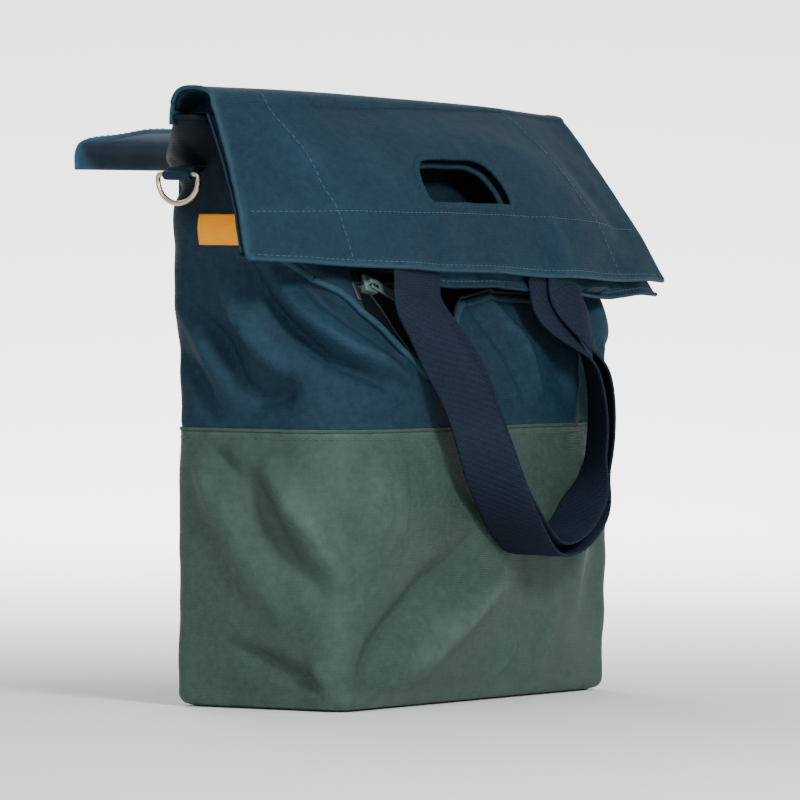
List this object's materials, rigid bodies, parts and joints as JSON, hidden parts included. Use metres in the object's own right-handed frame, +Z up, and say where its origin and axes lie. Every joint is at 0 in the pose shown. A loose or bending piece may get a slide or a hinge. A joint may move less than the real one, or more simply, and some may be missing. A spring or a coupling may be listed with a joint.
{
  "type": "bicycle pannier bag",
  "caption": "Soft fold-over shopper pannier with a hand hole, webbing handles, a zipped front pocket, side D-rings and locking rack hooks.",
  "frame": {"origin": "centre of the base, on the surface that the bag stands on", "axes": "+X along the bag's width, towards the front of the bicycle; +Y out of the back face with the rack hooks; +Z up"},
  "size_m": [0.408, 0.2472, 0.3478],
  "materials": {
    "navy_fabric": "matt coated polyester weave",
    "green_fabric": "matt coated polyester weave",
    "webbing": "woven polyester webbing",
    "binding": "folded bias binding",
    "lining": "thin dark lining",
    "zip_tape": "woven zip tape",
    "zip_coil": "nylon coil",
    "zip_metal": "satin grey-green enamel",
    "steel": "polished nickel-plated wire and rivets",
    "hook_plastic": "moulded black nylon",
    "board": "plain stiffening board",
    "label": "plain woven label"
  },
  "bodies": {
    "bag": {"lower_shell": "green_fabric", "upper_shell": "navy_fabric", "bottom_board": "board", "back_stiffener": "board", "hook_backing_strip": "steel", "pocket_lining": "lining", "zip_tape_upper": "zip_tape", "zip_tape_lower": "zip_tape", "zip_coil_upper": "zip_coil", "zip_coil_lower": "zip_coil", "zip_stop_left": "zip_metal", "zip_stop_right": "zip_metal", "d_ring_tab_left": "webbing", "d_ring_tab_right": "webbing", "side_label": "label", "hook_left": "hook_plastic", "hook_right": "hook_plastic", "lock_pin_left": "steel", "lock_pin_right": "steel", "lock_spring_left": "steel", "lock_spring_right": "steel", "hook_rivet_1": "steel", "hook_rivet_2": "steel", "hook_rivet_3": "steel", "hook_rivet_4": "steel", "hook_cover_strip": "navy_fabric", "cover_closure_strip": "webbing"},
    "flap": {"flap_outer": "navy_fabric", "flap_inner": "navy_fabric", "hand_hole_binding_outer": "binding", "hand_hole_binding_inner": "binding", "flap_side_seam_left": "navy_fabric", "flap_side_seam_right": "navy_fabric", "rear_handle_end_left": "webbing", "rear_handle_end_right": "webbing", "front_handle_end_left": "webbing", "front_handle_end_right": "webbing"},
    "handle_rear": {"handle_rear": "webbing"},
    "handle_front": {"handle_front": "webbing"},
    "zip_slider": {"zip_slider": "zip_metal"},
    "zip_puller": {"zip_puller": "zip_metal"},
    "d_ring_left": {"d_ring_left": "steel"},
    "d_ring_right": {"d_ring_right": "steel"},
    "lock_lever_left": {"lock_lever_left": "hook_plastic"},
    "lock_lever_right": {"lock_lever_right": "hook_plastic"},
    "hook_cover": {"hook_cover": "navy_fabric"}
  },
  "joints": [
    {"name": "flap_fold", "type": "hinge", "parent": "bag", "child": "flap", "pos_m": [0, 0.0265, 0.3375], "axis": [-1, 0, 0], "range_deg": [0, 150]},
    {"name": "handle_rear_swing", "type": "hinge", "parent": "flap", "child": "handle_rear", "pos_m": [0, -0.0585, 0.2415], "axis": [-1, 0, 0], "range_deg": [0, 75]},
    {"name": "handle_front_swing", "type": "hinge", "parent": "flap", "child": "handle_front", "pos_m": [0, -0.0585, 0.2415], "axis": [-1, 0, 0], "range_deg": [0, 75]},
    {"name": "zip_slide", "type": "slide", "parent": "bag", "child": "zip_slider", "axis": [1, 0, 0], "range_m": [-0.006, 0.2]},
    {"name": "zip_puller_swing", "type": "hinge", "parent": "zip_slider", "child": "zip_puller", "pos_m": [-0.098, -0.04402, 0.24087], "axis": [0, -0.4458, -0.8951], "range_deg": [0, 15]},
    {"name": "d_ring_left_swing", "type": "hinge", "parent": "bag", "child": "d_ring_left", "pos_m": [-0.17843, 0.035, 0.3015], "axis": [0, 1, 0], "range_deg": [0, 120]},
    {"name": "d_ring_right_swing", "type": "hinge", "parent": "bag", "child": "d_ring_right", "pos_m": [0.17843, 0.035, 0.3015], "axis": [0, -1, 0], "range_deg": [0, 120]},
    {"name": "lock_lever_left_turn", "type": "hinge", "parent": "bag", "child": "lock_lever_left", "pos_m": [-0.085, 0.0665, 0.279], "axis": [1, 0, 0], "range_deg": [0, 60], "stiffness_Nm_per_rad": 0.02, "springref_deg": -17.19},
    {"name": "lock_lever_right_turn", "type": "hinge", "parent": "bag", "child": "lock_lever_right", "pos_m": [0.085, 0.0665, 0.279], "axis": [1, 0, 0], "range_deg": [0, 60], "stiffness_Nm_per_rad": 0.02, "springref_deg": -17.19},
    {"name": "hook_cover_fold", "type": "hinge", "parent": "bag", "child": "hook_cover", "pos_m": [0, 0.087, 0.3234], "axis": [-1, 0, 0], "range_deg": [0, 60]}
  ],
  "couplings": [
    {"joint": "handle_front_swing", "follows": "handle_rear_swing", "ratio": 1}
  ]
}
